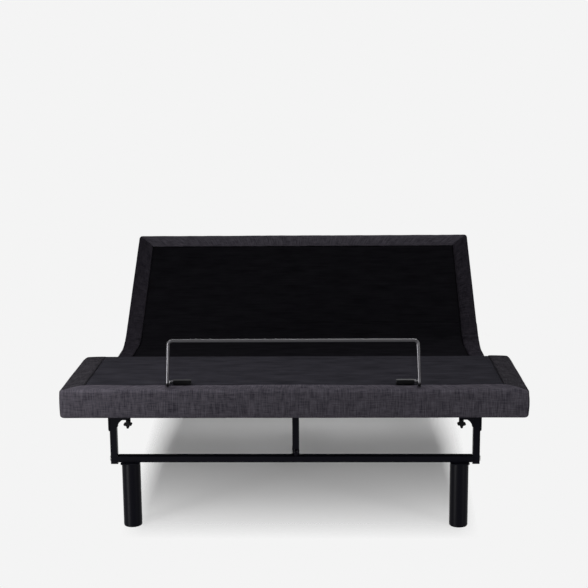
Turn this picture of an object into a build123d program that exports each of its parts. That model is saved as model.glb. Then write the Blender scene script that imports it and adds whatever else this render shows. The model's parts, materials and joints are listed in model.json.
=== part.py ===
from build123d import *
import os
from collections import namedtuple
from math import asin, atan2, cos, degrees, radians, sin, tan

os.makedirs("parts", exist_ok=True)

# An adjustable bed base, in millimetres. X runs across the bed, -Y points to the foot end, +Z is up.
# The origin is on the floor, at the middle of the object's box with the head and the knees raised.

# ---- deck: four hinged sections, measured flat and along the bed ----
deck_width = 1524.0
foot_length = 470.0
thigh_length = 400.0
seat_length = 500.0
head_length = 660.0
head_rest_angle = 36.3
head_top_angle = 55.0
knee_rise = 152.0

# ---- section build-up, from the top down ----
pad_thickness = 12.0
board_thickness = 12.0
pivot_below_board_top = 8.0
section_depth = 92.0
border_wall = 8.0
border_width = 70.0
corner_radius = 14.0
panel_gap = 0.3
fit_gap = 0.3
mitre_kerf = 0.3
mitre_reach = 133.0
strip_kerf = 0.3
cut_past = 10.0
joint_gap = 3.0

# ---- wooden rails under each board ----
rail_thickness = 20.0
rail_lift = 2.0
cross_rail_thickness = 22.0
end_rail_setback = 14.0

# ---- steel frame ----
leg_height = 226.0
tube = 30.0
deck_clearance = 8.0
leg_inset = 130.0
front_beam_half = 598.5
front_beam_height = 20.0
front_beam_depth = 30.0
side_rail_outboard = 1.5
middle_beam_setback = 82.0
rear_beam_overhang = 310.0
side_rail_tail = 45.0
seat_beam_inset = 110.0
side_rail_lead = 12.0
spacer_length = 40.0
spine_width = 12.0
spine_height = 20.0
spine_x = -4.5
wall = 2.0

# ---- legs ----
leg_inboard = 43.5
leg_diameter = 62.5
leg_wall = 3.0
leg_plate_side = 64.0
leg_plate_thickness = 4.0
glide_height = 3.0
glide_plug = 8.0
glide_diameter = 60.0
leg_bolt_diameter = 12.0
leg_bolt_grip = 20.0
leg_bolt_length = 34.0
leg_nut_radius = 10.8
leg_nut_height = 6.0

# ---- foot stays and the brackets that they stand in ----
stay_width = 23.0
centre_stay_width = 22.6
centre_stay_x = 4.5
stay_thickness = 22.0
stay_side_gap = 0.6
stay_top_z = 402.0
centre_pivot_lift = 12.0
centre_slot = 11.0
centre_slot_rise = 13.0
stay_tail = 20.5
stay_corner = 6.0
stay_bolt_diameter = 10.0
bolt_head_diameter = 18.0
bolt_head_height = 3.0
centre_head_height = 1.5
running_gap = 0.05
bracket_plate = 3.5
bracket_side_gap = 0.5
bracket_depth = 20.0
bracket_forward = 4.0
bracket_drop = 83.0
inner_cheek_cut = 16.0
centre_bracket_drop = 34.0
bracket_chamfer = 8.0
gusset_reach = 17.0
gusset_rise = 25.0
gusset_hollow = 2.6
foot_bar = 25.0
lug_radius = 10.0
lug_thickness = 10.0
cap_length = 8.0

# ---- clamp knobs beside the brackets ----
knob_inboard = 40.5
knob_drop = 53.5
knob_hub_radius = 8.5
knob_lobes = 4
knob_lobe_radius = 4.5
knob_lobe_reach = 9.5
knob_thickness = 14.0
knob_stud_diameter = 8.0
knob_nut_radius = 6.8
knob_nut_height = 4.0
stud_proud = 1.0
knob_tab_width = 16.0
arm_drop = 42.0
arm_height = 18.0

# ---- hinges between the sections ----
leaf_thickness = 4.0
leaf_gap = 0.3
knuckle_radius = 7.5
hinge_pin_diameter = 7.0
leaf_length = 56.0
leaf_height = 30.0
leaf_drop = 42.0
pin_head_diameter = 13.0
pin_head_height = 2.5
notch_margin = 2.0

# ---- mattress retainer ----
retainer_half = 411.0
retainer_height = 160.0
retainer_rod = 11.0
retainer_lean = 7.5
retainer_corner = 14.0
retainer_setback = 26.0
retainer_reach_back = 54.0
clip_inboard = 43.0
clip_width = 58.0
clip_depth = 34.0
clip_thickness = 3.0
clip_rod_play = 10.0
clip_height = 15.0
clip_rod_lift = 8.5
clip_screw_inset = 9.0
clip_screw_back = 17.0
screw_diameter = 6.0
screw_head_diameter = 12.0
screw_head_height = 3.0

# ---- lift linkage ----
lift_bar = 30.0
lift_bar_setback = 60.0
crank_plate = 5.0
crank_margin = 13.0
crank_drop = 61.0
crank_side_gap = 0.8
slot_play = 0.6
link_pin_diameter = 14.0
head_link_x = 150.0
foot_link_x = -150.0
head_crank_radius = 150.0
head_crank_angle = -106.0
head_slot = (-1.8, 13.7)
head_slot_side = (-2.0, 0.2)
foot_crank_radius = 140.0
foot_crank_angle = -74.0
foot_slot = (-2.8, 0.1)
foot_slot_side = (-0.2, 0.1)

# ---- linear actuators ----
motor_pivot_drop = 26.0
motor_pivot_reach = 30.0
outer_tube_diameter = 44.0
outer_tube_wall = 3.0
outer_tube_end = 236.0
bush_length = 14.0
push_rod_diameter = 22.0
rod_overlap = 4.0
rod_eye_width = 24.0
rod_eye_radius = 13.0
gear_case_start = 18.0
gear_case_length = 46.0
gear_case_height = 58.0
gear_case_margin = 5.0
gear_case_corner = 8.0
motor_can_diameter = 54.0
motor_can_length = 112.0
motor_can_offset = 58.0
motor_cap_length = 6.0
mount_plate = 5.0
slide_gap = 0.08
lug_gap = 0.5
pin_collar_diameter = 20.0
pin_collar_height = 3.0

# ---- control box ----
box_length = 190.0
box_width = 120.0
box_height = 44.0
box_corner = 8.0
box_start = 62.0
box_tab_thickness = 4.0
box_tab_reach = 18.0
socket_diameter = 12.0
socket_count = 4
socket_depth = 3.0
inlet_width = 24.0
inlet_height = 17.0

# ---- headboard plates on the rear of the frame ----
headboard_plate_width = 76.0
headboard_plate_height = 62.0
headboard_plate_thickness = 5.0
headboard_hole_radius = 4.5
headboard_hole_spacing = 46.0
headboard_hole_drop = 18.0

# ---- places worked out from the sizes above ----
half_width = deck_width / 2
thigh_rest_angle = degrees(asin(knee_rise / thigh_length))
below_pivot = section_depth - pad_thickness - pivot_below_board_top
above_pivot = pad_thickness + pivot_below_board_top
head_run = head_length * cos(radians(head_rest_angle)) + below_pivot * sin(radians(head_rest_angle))
thigh_run = thigh_length * cos(radians(thigh_rest_angle))
total_run = foot_length + thigh_run + seat_length + head_run
foot_face_y = -total_run / 2
knee_y = foot_face_y + foot_length
thigh_hinge_y = knee_y + thigh_run
head_hinge_y = thigh_hinge_y + seat_length
beam_top_z = leg_height + tube
beam_mid_z = leg_height + tube / 2
front_mid_z = leg_height + front_beam_height / 2
front_top_z = leg_height + front_beam_height
leg_x = front_beam_half - leg_inboard
knob_x = front_beam_half - knob_inboard
side_rail_x = front_beam_half + side_rail_outboard
deck_under_z = beam_top_z + deck_clearance
pivot_z = deck_under_z + below_pivot
knee_z = pivot_z + knee_rise
board_under = pivot_below_board_top - board_thickness
rail_under = rail_lift - below_pivot
leg_y = foot_face_y + leg_inset
middle_beam_y = thigh_hinge_y + middle_beam_setback
seat_beam_y = head_hinge_y - seat_beam_inset
rear_beam_y = head_hinge_y + rear_beam_overhang
inner_half = half_width - border_wall - fit_gap
rail_face = inner_half - rail_thickness
hinge_inner_x = rail_face - 2 * leaf_thickness - leaf_gap - pin_head_height - notch_margin
link_pivot_z = beam_mid_z - motor_pivot_drop
head_motor_y = middle_beam_y + tube / 2 + motor_pivot_reach
foot_motor_y = seat_beam_y - tube / 2 - motor_pivot_reach
clip_x = retainer_half - clip_inboard
clip_u = retainer_setback + retainer_reach_back
deck_top_z = knee_z + above_pivot
ACROSS = (1, 0, 0)


def upright(x, y, z):
    """A plane that faces +X, with its own X along the bed and its own Y up."""
    return Plane(origin=(x, y, z), x_dir=(0, 1, 0), z_dir=ACROSS)


def save(builder, name):
    """Labels a finished piece and writes its STEP file."""
    builder.part.label = name
    export_step(builder.part, f"parts/{name}.step")


# ---- deck sections ----
# Each section is drawn about its hinge line: u runs towards the head end, v is square to the deck.
# An end is either free, or it folds: up towards its neighbour (top) or down towards it (bottom).
End = namedtuple("End", "u gap top bottom")
Section = namedtuple("Section", "name deck side low high free")


def make_section(name, y, z, tilt, low, high, free):
    """The two working planes of a section, and its ends."""
    along = (0, cos(radians(tilt)), sin(radians(tilt)))
    normal = (0, -sin(radians(tilt)), cos(radians(tilt)))
    deck = Plane(origin=(0, y, z), x_dir=ACROSS, z_dir=normal)
    side = Plane(origin=(0, y, z), x_dir=along, z_dir=ACROSS)
    return Section(name, deck, side, low, high, free)


knee_fold = tan(radians(thigh_rest_angle / 2))
seat_fold = tan(radians(thigh_rest_angle / 2))
head_fold = tan(radians(head_top_angle / 2))
half_gap = joint_gap / 2
foot = make_section(
    "foot", knee_y, knee_z, 0, End(-foot_length, 0, 0, 0), End(0, half_gap, 0, knee_fold), -1
)
thigh = make_section(
    "thigh",
    thigh_hinge_y,
    pivot_z,
    -thigh_rest_angle,
    End(-thigh_length, half_gap, 0, knee_fold),
    End(0, half_gap, seat_fold, 0),
    0,
)
seat = make_section(
    "seat",
    thigh_hinge_y,
    pivot_z,
    0,
    End(0, half_gap, seat_fold, 0),
    End(seat_length, half_gap, head_fold, 0),
    0,
)
head = make_section(
    "head",
    head_hinge_y,
    pivot_z,
    head_rest_angle,
    End(0, half_gap, head_fold, 0),
    End(head_length, 0, 0, 0),
    1,
)
SECTIONS = (foot, thigh, seat, head)


def end_u(end, v, inset, inward):
    """How far along the bed an end face lies at height v, moved in by inset."""
    slope = end.top if v > 0 else end.bottom
    return end.u + inward * (end.gap + inset + abs(v) * slope)


def side_outline(section, free_inset, hinge_inset, v_low, v_high):
    """The closed outline of a section seen from the side."""
    ends = []
    for end, inward in ((section.low, 1), (section.high, -1)):
        inset = hinge_inset if end.gap else free_inset
        levels = [v_low, v_high]
        if v_low < 0 < v_high and end.top + end.bottom > 0:
            levels = [v_low, 0, v_high]
        ends.append([(end_u(end, v, inset, inward), v) for v in levels])
    return ends[0] + ends[1][::-1]


def side_block(section, insets, v_low, v_high, x_low, x_high, mode=Mode.ADD):
    """Adds or cuts a block with that outline, between two places across the bed."""
    with BuildSketch(section.side.offset(x_low)) as outline:
        with BuildLine():
            Polyline(side_outline(section, *insets, v_low, v_high), close=True)
        make_face()
    extrude(outline.sketch, amount=x_high - x_low, mode=mode)


def hinged_ends(section):
    """The ends of a section that are hinged to a neighbour."""
    return [end for end in (section.low, section.high) if end.gap > 0]


def cut_hinge_notches(section):
    """Leaves room for the hinge leaves beside the side rails."""
    for end in hinged_ends(section):
        reach = end.gap + border_wall + fit_gap + end.bottom * leaf_drop + notch_margin
        notch_outer_x = rail_face + notch_margin
        for x in (hinge_inner_x, -notch_outer_x):
            with BuildSketch(section.side.offset(x)) as notch:
                with Locations((end.u, (pivot_below_board_top - leaf_drop) / 2)):
                    Rectangle(2 * reach, pivot_below_board_top + leaf_drop)
            extrude(notch.sketch, amount=notch_outer_x - hinge_inner_x, mode=Mode.SUBTRACT)


def clip_screw_places():
    """The screws of the retainer clips: two to a clip, on the foot section's deck plane."""
    u = foot.low.u + clip_u + clip_screw_back
    near = clip_x - clip_width / 2 + clip_screw_inset
    far = clip_x + clip_width / 2 - clip_screw_inset
    return [(sign * x, u) for sign in (-1, 1) for x in (near, far)]


def cut_screw_holes():
    """Clearance holes through the foot section's centre panel and board for the clip screws."""
    with BuildSketch(foot.deck.offset(board_under - 1)) as holes:
        with Locations(clip_screw_places()):
            Circle(screw_diameter / 2 + fit_gap / 2)
    extrude(holes.sketch, amount=section_depth, mode=Mode.SUBTRACT)


def make_border(section):
    """The upholstered border: a top strip and a wall down each side and round a free end."""
    with BuildPart() as border:
        side_block(section, (0, 0), -below_pivot, above_pivot, -half_width, half_width)
        if section.free:
            ends = border.edges().filter_by(Axis((0, 0, 0), section.deck.z_dir))
            corners = ends.sort_by(Axis((0, 0, 0), section.side.x_dir))
            fillet(corners[-2:] if section.free > 0 else corners[:2], corner_radius)
        side_block(
            section,
            (border_wall, -cut_past),
            -below_pivot - cut_past,
            pivot_below_board_top,
            border_wall - half_width,
            half_width - border_wall,
            Mode.SUBTRACT,
        )
        side_block(
            section,
            (border_width, -cut_past),
            pivot_below_board_top - strip_kerf,
            above_pivot + cut_past,
            border_width - half_width,
            half_width - border_width,
            Mode.SUBTRACT,
        )
        # the strip is sewn to the wall along this kerf
        side_block(
            section,
            (-cut_past, -cut_past),
            pivot_below_board_top - strip_kerf,
            pivot_below_board_top,
            -half_width - cut_past,
            half_width + cut_past,
            Mode.SUBTRACT,
        )
        # each mitre kerf starts a little past its corner and runs in at 45 degrees
        free_ends = [
            (end_u(end, above_pivot, 0, way), way)
            for end, way in ((section.low, 1), (section.high, -1))
            if not end.gap
        ]
        for u, way in free_ends:
            with BuildSketch(section.deck.offset(-below_pivot - cut_past)) as kerfs:
                for x, turn in ((-half_width, 1), (half_width, -1)):
                    middle = border_width / 2
                    with Locations((x + turn * middle, u + way * middle)):
                        Rectangle(mitre_reach, mitre_kerf, rotation=45 * turn * way)
            extrude(kerfs.sketch, amount=section_depth + 2 * cut_past, mode=Mode.SUBTRACT)
    save(border, f"{section.name}_border")


def make_panel(section):
    """The thin non-woven centre panel on the board, which runs to the hinge lines."""
    inset = border_width + panel_gap
    with BuildPart() as panel:
        side_block(
            section,
            (inset, 0),
            pivot_below_board_top,
            above_pivot,
            inset - half_width,
            half_width - inset,
        )
        if section is foot:
            cut_screw_holes()
    save(panel, f"{section.name}_centre_panel")


def make_board(section):
    """The deck board, which the rails and the upholstery are fixed to."""
    with BuildPart() as board:
        side_block(
            section,
            (border_wall + fit_gap, border_wall + fit_gap),
            board_under,
            pivot_below_board_top,
            -inner_half,
            inner_half,
        )
        cut_hinge_notches(section)
        if section is foot:
            cut_screw_holes()
    save(board, f"{section.name}_board")


def cross_rail_places(section, middle_places):
    """Where the rails across a section lie: one near each end, and those between."""
    inset = border_wall + fit_gap
    places = []
    for end, inward in ((section.low, 1), (section.high, -1)):
        setback = end_rail_setback if end.gap else fit_gap
        face = end_u(end, rail_under, inset, inward)
        places.append(face + inward * (setback + cross_rail_thickness / 2))
    return places + middle_places


def make_rails(section, middle_places):
    """Wooden rails under the board: two along the sides, and the rest across."""
    inset = border_wall + fit_gap
    with BuildPart() as rails:
        side_block(section, (inset, inset), rail_under, board_under, rail_face, inner_half)
        side_block(section, (inset, inset), rail_under, board_under, -inner_half, -rail_face)
        with BuildSketch(section.deck.offset(rail_under)):
            with Locations([(0, u) for u in cross_rail_places(section, middle_places)]):
                Rectangle(2 * hinge_inner_x, cross_rail_thickness)
        extrude(amount=board_under - rail_under)
    save(rails, f"{section.name}_rails")


middle_rails = {"foot": [-110.0], "thigh": [-240.0], "seat": [215.0], "head": [260.0, 460.0]}
for section in SECTIONS:
    make_border(section)
    make_panel(section)
    make_board(section)
    make_rails(section, middle_rails[section.name])


# ---- hinges ----
# Flat steel leaves screwed inside the side rails, lapped about a shouldered pin at each hinge line.
def make_leaf(section, end, lapped):
    """Adds a right and a left leaf. A lapped leaf lies inboard, with a packing pad to its rail."""
    way = 1 if end is section.low else -1
    lean = end.bottom * leaf_drop
    tip = end.u + way * leaf_length
    top = -knuckle_radius / 2 - fit_gap
    outline = [
        (end.u, 0),
        (end.u + way * lean, -leaf_drop),
        (tip, -leaf_drop),
        (tip, board_under - fit_gap),
        (end.u + way * knuckle_radius, board_under - fit_gap),
        (end.u + way * knuckle_radius, 0),
    ]
    outer = rail_face - leaf_thickness
    lap = leaf_thickness + leaf_gap if lapped else 0
    for x in (outer - lap, -rail_face + lap):
        with BuildSketch(section.side.offset(x)) as leaf:
            with BuildLine():
                Polyline(outline, close=True)
            make_face()
            with Locations((end.u, 0)):
                Circle(knuckle_radius)
                Circle(hinge_pin_diameter / 2 + running_gap, mode=Mode.SUBTRACT)
        extrude(leaf.sketch, amount=leaf_thickness)
    if lapped:
        pad_length = leaf_length / 2
        for x in (rail_face - lap, -rail_face):
            with BuildSketch(section.side.offset(x)) as pad:
                with Locations((tip - way * pad_length / 2, top - leaf_height / 2)):
                    Rectangle(pad_length, leaf_height)
            extrude(pad.sketch, amount=lap)


def make_hinge_pins(section, ends):
    """Adds a right and a left pin at each hinge line, with its head inboard."""
    length = 2 * leaf_thickness + leaf_gap
    for end in ends:
        for way, start in ((1, -rail_face), (-1, rail_face)):
            base = section.side.offset(start)
            with BuildSketch(base) as shank:
                with Locations((end.u, 0)):
                    Circle(hinge_pin_diameter / 2)
            extrude(shank.sketch, amount=way * (length + running_gap))
            with BuildSketch(section.side.offset(start + way * (length + running_gap))) as cap:
                with Locations((end.u, 0)):
                    Circle(pin_head_diameter / 2)
            extrude(cap.sketch, amount=way * pin_head_height)


with BuildPart() as seat_hinge_leaves:
    make_leaf(seat, seat.low, False)
    make_leaf(seat, seat.high, False)
save(seat_hinge_leaves, "seat_hinge_leaves")

with BuildPart() as head_hinge_leaves:
    make_leaf(head, head.low, True)
save(head_hinge_leaves, "head_hinge_leaves")

with BuildPart() as thigh_hinge_leaves:
    make_leaf(thigh, thigh.high, True)
    make_leaf(thigh, thigh.low, False)
save(thigh_hinge_leaves, "thigh_hinge_leaves")

with BuildPart() as foot_hinge_leaves:
    make_leaf(foot, foot.high, True)
save(foot_hinge_leaves, "foot_hinge_leaves")

with BuildPart() as seat_hinge_pins:
    make_hinge_pins(seat, (seat.low, seat.high))
save(seat_hinge_pins, "seat_hinge_pins")

with BuildPart() as knee_hinge_pins:
    make_hinge_pins(thigh, (thigh.low,))
save(knee_hinge_pins, "knee_hinge_pins")


# ---- steel frame ----
def leg_bolt_holes(y):
    """Holes up through the bottom wall of a crossbeam for the two leg bolts."""
    with BuildSketch(Plane.XY.offset(leg_height - 1)) as holes:
        with Locations((-leg_x, y), (leg_x, y)):
            Circle(leg_bolt_diameter / 2 + fit_gap)
    extrude(holes.sketch, amount=wall + 2, mode=Mode.SUBTRACT)


with BuildPart() as front_crossbeam:
    with BuildSketch(upright(-front_beam_half, leg_y, front_mid_z)):
        Rectangle(front_beam_depth, front_beam_height)
    extrude(amount=2 * front_beam_half)
    # the ends are closed by welded caps, which take the stay bolts
    hollow = front_beam_half - cap_length
    with BuildSketch(upright(-hollow, leg_y, front_mid_z)):
        Rectangle(front_beam_depth - 2 * wall, front_beam_height - 2 * wall)
    extrude(amount=2 * hollow, mode=Mode.SUBTRACT)
    with BuildSketch(upright(-front_beam_half, leg_y, front_mid_z)):
        Circle(stay_bolt_diameter / 2)
    extrude(amount=2 * front_beam_half, mode=Mode.SUBTRACT)
    leg_bolt_holes(leg_y)
save(front_crossbeam, "front_crossbeam")

spine_start = leg_y + front_beam_depth / 2
with BuildPart() as centre_spine:
    with BuildSketch(upright(spine_x - spine_width / 2, spine_start, leg_height)):
        Rectangle(
            middle_beam_y - tube / 2 - spine_start, spine_height, align=(Align.MIN, Align.MIN)
        )
    extrude(amount=spine_width)
save(centre_spine, "centre_spine")

rail_front_y = thigh_hinge_y + side_rail_lead
rail_rear_y = rear_beam_y + tube / 2 + side_rail_tail
with BuildPart() as side_rails:
    with BuildSketch(Plane(origin=(0, rail_front_y, beam_mid_z), x_dir=ACROSS, z_dir=(0, 1, 0))):
        with Locations((-side_rail_x, 0), (side_rail_x, 0)):
            Rectangle(tube, tube)
            Rectangle(tube - 2 * wall, tube - 2 * wall, mode=Mode.SUBTRACT)
    extrude(amount=rail_rear_y - rail_front_y)
save(side_rails, "side_rails")

crossbeam_half = side_rail_x - tube / 2
with BuildPart() as frame_crossbeams:
    for beam_y in (middle_beam_y, seat_beam_y, rear_beam_y):
        with BuildSketch(upright(-crossbeam_half, beam_y, beam_mid_z)):
            Rectangle(tube, tube)
            Rectangle(tube - 2 * wall, tube - 2 * wall, mode=Mode.SUBTRACT)
        extrude(amount=2 * crossbeam_half)
    leg_bolt_holes(rear_beam_y)
save(frame_crossbeams, "frame_crossbeams")

spacer_height = deck_clearance + rail_lift
with BuildPart() as seat_spacers:
    with BuildSketch(Plane.XY.offset(beam_top_z)):
        for u in cross_rail_places(seat, middle_rails["seat"]):
            with Locations((-side_rail_x, thigh_hinge_y + u), (side_rail_x, thigh_hinge_y + u)):
                Rectangle(spacer_length, cross_rail_thickness)
    extrude(amount=spacer_height)
save(seat_spacers, "seat_spacers")

plate_z = beam_top_z - headboard_plate_height / 2
plate_plane = Plane(origin=(0, rail_rear_y, plate_z), x_dir=ACROSS, z_dir=(0, 1, 0))
hole_row = headboard_plate_height / 2 - headboard_hole_drop
with BuildPart() as headboard_plates:
    with BuildSketch(plate_plane):
        with Locations((-side_rail_x, 0), (side_rail_x, 0)):
            RectangleRounded(headboard_plate_width, headboard_plate_height, corner_radius / 2)
            with Locations((0, -hole_row)):
                with GridLocations(headboard_hole_spacing, 0, 2, 1):
                    Circle(headboard_hole_radius, mode=Mode.SUBTRACT)
    extrude(amount=headboard_plate_thickness)
save(headboard_plates, "headboard_plates")


# ---- legs ----
def make_legs(y, name):
    """Two round tube legs, each with a welded top plate for its bolt."""
    places = [(-leg_x, y), (leg_x, y)]
    plate_under = leg_height - leg_plate_thickness
    with BuildPart() as legs:
        with BuildSketch(Plane.XY.offset(glide_height)):
            with Locations(places):
                Circle(leg_diameter / 2)
                Circle(leg_diameter / 2 - leg_wall, mode=Mode.SUBTRACT)
        extrude(amount=plate_under - glide_height)
        with BuildSketch(Plane.XY.offset(plate_under)):
            with Locations(places):
                RectangleRounded(leg_plate_side, leg_plate_side, corner_radius / 2)
                Circle(leg_bolt_diameter / 2 + fit_gap, mode=Mode.SUBTRACT)
        extrude(amount=leg_plate_thickness)
    save(legs, name)


make_legs(leg_y, "front_legs")
make_legs(rear_beam_y, "rear_legs")
leg_places = [(sign * leg_x, y) for y in (leg_y, rear_beam_y) for sign in (-1, 1)]

with BuildPart() as leg_glides:
    with BuildSketch(Plane.XY):
        with Locations(leg_places):
            Circle(glide_diameter / 2)
    extrude(amount=glide_height)
    with BuildSketch(Plane.XY.offset(glide_height)):
        with Locations(leg_places):
            Circle(leg_diameter / 2 - leg_wall - fit_gap)
    extrude(amount=glide_plug)
save(leg_glides, "leg_glides")

with BuildPart() as leg_bolts:
    with BuildSketch(Plane.XY.offset(leg_height - leg_bolt_grip)):
        with Locations(leg_places):
            Circle(leg_bolt_diameter / 2)
    extrude(amount=leg_bolt_length)
    nut_z = leg_height + wall
    with BuildSketch(Plane.XY.offset(nut_z)):
        with Locations(leg_places):
            RegularPolygon(leg_nut_radius, 6)
    extrude(amount=leg_nut_height)
save(leg_bolts, "leg_bolts")


# ---- foot stays: three props that stand between the front crossbeam and the foot section ----
stay_mid_x = front_beam_half + stay_side_gap + stay_width / 2
centre_pivot_z = front_top_z + centre_pivot_lift


def make_stay(name, x_mid, width, pivot_height, tail, slot=0):
    """One flat stay with a hole for its bolt and a round lower end, which may be slotted."""
    with BuildPart() as stay:
        with BuildSketch(upright(x_mid - width / 2, leg_y, pivot_height)) as outline:
            top = stay_top_z - pivot_height
            round_v = stay_thickness / 2 - tail
            with Locations((0, (top + round_v) / 2)):
                Rectangle(stay_thickness, top - round_v)
            fillet(outline.vertices().group_by(Axis.Z)[-1], stay_corner)
            with Locations((0, round_v)):
                Circle(stay_thickness / 2)
            Circle(stay_bolt_diameter / 2 + running_gap, mode=Mode.SUBTRACT)
        extrude(amount=width)
        if slot:
            with BuildSketch(upright(x_mid - slot / 2, leg_y, pivot_height)) as fork:
                Rectangle(2 * stay_thickness, 2 * centre_slot_rise)
            extrude(fork.sketch, amount=slot, mode=Mode.SUBTRACT)
    save(stay, name)


make_stay("stay_left", -stay_mid_x, stay_width, front_mid_z, stay_tail)
make_stay("stay_right", stay_mid_x, stay_width, front_mid_z, stay_tail)
make_stay(
    "stay_centre", centre_stay_x, centre_stay_width, centre_pivot_z, stay_thickness / 2, centre_slot
)

stay_outer_x = front_beam_half + stay_side_gap + stay_width + fit_gap
centre_reach = centre_stay_width / 2 + fit_gap + centre_head_height
with BuildPart() as stay_pivot_bolts:
    for way in (-1, 1):
        inner_x = way * (front_beam_half - cap_length)
        with BuildSketch(upright(inner_x, leg_y, front_mid_z)):
            Circle(stay_bolt_diameter / 2)
        extrude(amount=way * (stay_outer_x - front_beam_half + cap_length))
        with BuildSketch(upright(way * stay_outer_x, leg_y, front_mid_z)):
            RegularPolygon(bolt_head_diameter / 2, 6)
        extrude(amount=way * bolt_head_height)
    with BuildSketch(upright(centre_stay_x - centre_reach, leg_y, centre_pivot_z)):
        Circle(stay_bolt_diameter / 2)
    extrude(amount=2 * centre_reach)
    for x in (-centre_reach, centre_reach - centre_head_height):
        with BuildSketch(upright(centre_stay_x + x, leg_y, centre_pivot_z)):
            Circle(stay_bolt_diameter / 2 + wall)
        extrude(amount=centre_head_height)
save(stay_pivot_bolts, "stay_pivot_bolts")

# the centre stay straddles this lug on the crossbeam
with BuildPart() as centre_stay_lug:
    with BuildSketch(upright(centre_stay_x - lug_thickness / 2, leg_y, front_top_z)):
        with BuildLine():
            Polyline(
                (lug_radius, centre_pivot_lift),
                (lug_radius, 0),
                (-lug_radius, 0),
                (-lug_radius, centre_pivot_lift),
            )
            ThreePointArc(
                (-lug_radius, centre_pivot_lift),
                (0, centre_pivot_lift + lug_radius),
                (lug_radius, centre_pivot_lift),
            )
        make_face()
        with Locations((0, centre_pivot_lift)):
            Circle(stay_bolt_diameter / 2, mode=Mode.SUBTRACT)
    extrude(amount=lug_thickness)
save(centre_stay_lug, "centre_stay_lug")


# ---- steel bar across the foot section, and the brackets that the stays stand in ----
bar_y = leg_y - bracket_forward
bar_top_z = knee_z + board_under
bar_under_z = bar_top_z - foot_bar
foot_under_z = knee_z - below_pivot
with BuildPart() as foot_cross_bar:
    with BuildSketch(upright(fit_gap - rail_face, bar_y, bar_top_z - foot_bar / 2)):
        Rectangle(foot_bar, foot_bar)
        Rectangle(foot_bar - 2 * wall, foot_bar - 2 * wall, mode=Mode.SUBTRACT)
    extrude(amount=2 * (rail_face - fit_gap))
save(foot_cross_bar, "foot_cross_bar")


def make_cheeks(x_mid, width, low_z):
    """Adds a channel under the cross bar that straddles one stay."""
    gap = width + 2 * bracket_side_gap
    reach = gap / 2 + bracket_plate
    height = bar_under_z - low_z
    with BuildSketch(upright(x_mid - reach, bar_y, low_z)) as side:
        with Locations((0, height / 2)):
            Rectangle(bracket_depth, height)
        chamfer(side.vertices().group_by(Axis.Z)[0], bracket_chamfer)
    extrude(side.sketch, amount=2 * reach)
    with BuildSketch(upright(x_mid - gap / 2, bar_y, low_z)) as channel:
        with Locations((0, (height - bracket_plate) / 2)):
            Rectangle(bracket_depth + 2, height - bracket_plate)
    extrude(channel.sketch, amount=gap, mode=Mode.SUBTRACT)


bracket_low_z = foot_under_z - bracket_drop
cheek_inner_x = stay_mid_x - stay_width / 2 - bracket_side_gap
knob_z = foot_under_z - knob_drop
arm_low_z = foot_under_z - arm_drop
plate_front_y = bar_y - bracket_depth / 2
gusset_low_z = arm_low_z - gusset_rise
with BuildPart() as outer_stay_brackets:
    for way in (-1, 1):
        make_cheeks(way * stay_mid_x, stay_width, bracket_low_z)
        root = way * (cheek_inner_x - bracket_plate)
        # the inner cheek is cut short, to pass in front of the crossbeam
        with BuildSketch(upright(root, bar_y, bracket_low_z)):
            with Locations((0, inner_cheek_cut / 2)):
                Rectangle(2 * bracket_depth, inner_cheek_cut)
        extrude(amount=way * bracket_plate, mode=Mode.SUBTRACT)
        # a flat plate: gusset, arm and the tab that carries the clamp knob
        with BuildSketch(Plane(origin=(0, plate_front_y, 0), x_dir=ACROSS, z_dir=(0, -1, 0))):
            tip = root - way * gusset_reach
            hollow_x = (root + tip) / 2 + way * gusset_hollow
            hollow_z = (gusset_low_z + arm_low_z) / 2 + gusset_hollow
            with BuildLine():
                ThreePointArc((root, gusset_low_z), (hollow_x, hollow_z), (tip, arm_low_z))
                Polyline((tip, arm_low_z), (root, arm_low_z), (root, gusset_low_z))
            make_face()
            arm_end = way * (knob_x - knob_tab_width / 2)
            with Locations(((root + arm_end) / 2, arm_low_z + arm_height / 2)):
                Rectangle(abs(root - arm_end), arm_height)
            with Locations((way * knob_x, (knob_z + arm_low_z + arm_height) / 2)):
                Rectangle(knob_tab_width, arm_low_z + arm_height - knob_z)
            with Locations((way * knob_x, knob_z)):
                Circle(knob_tab_width / 2)
                Circle(knob_stud_diameter / 2 + fit_gap / 2, mode=Mode.SUBTRACT)
        extrude(amount=-bracket_plate)
save(outer_stay_brackets, "outer_stay_brackets")

with BuildPart() as centre_stay_bracket:
    make_cheeks(centre_stay_x, centre_stay_width, foot_under_z - centre_bracket_drop)
save(centre_stay_bracket, "centre_stay_bracket")


def knob_plane(y):
    """A plane that faces the foot end, with its own Y up."""
    return Plane(origin=(0, y, knob_z), x_dir=ACROSS, z_dir=(0, -1, 0))


plate_rear_y = plate_front_y + bracket_plate
stud_length = bracket_plate + knob_nut_height + stud_proud
with BuildPart() as clamp_knobs:
    for x in (-knob_x, knob_x):
        with BuildSketch(knob_plane(plate_front_y)):
            with Locations((x, 0)):
                Circle(knob_hub_radius)
                with PolarLocations(knob_lobe_reach, knob_lobes):
                    Circle(knob_lobe_radius)
        extrude(amount=knob_thickness)
        with BuildSketch(knob_plane(plate_front_y)):
            with Locations((x, 0)):
                Circle(knob_stud_diameter / 2)
        extrude(amount=-stud_length)
        with BuildSketch(knob_plane(plate_rear_y)):
            with Locations((x, 0)):
                RegularPolygon(knob_nut_radius, 6)
        extrude(amount=-knob_nut_height)
save(clamp_knobs, "clamp_knobs")


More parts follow.
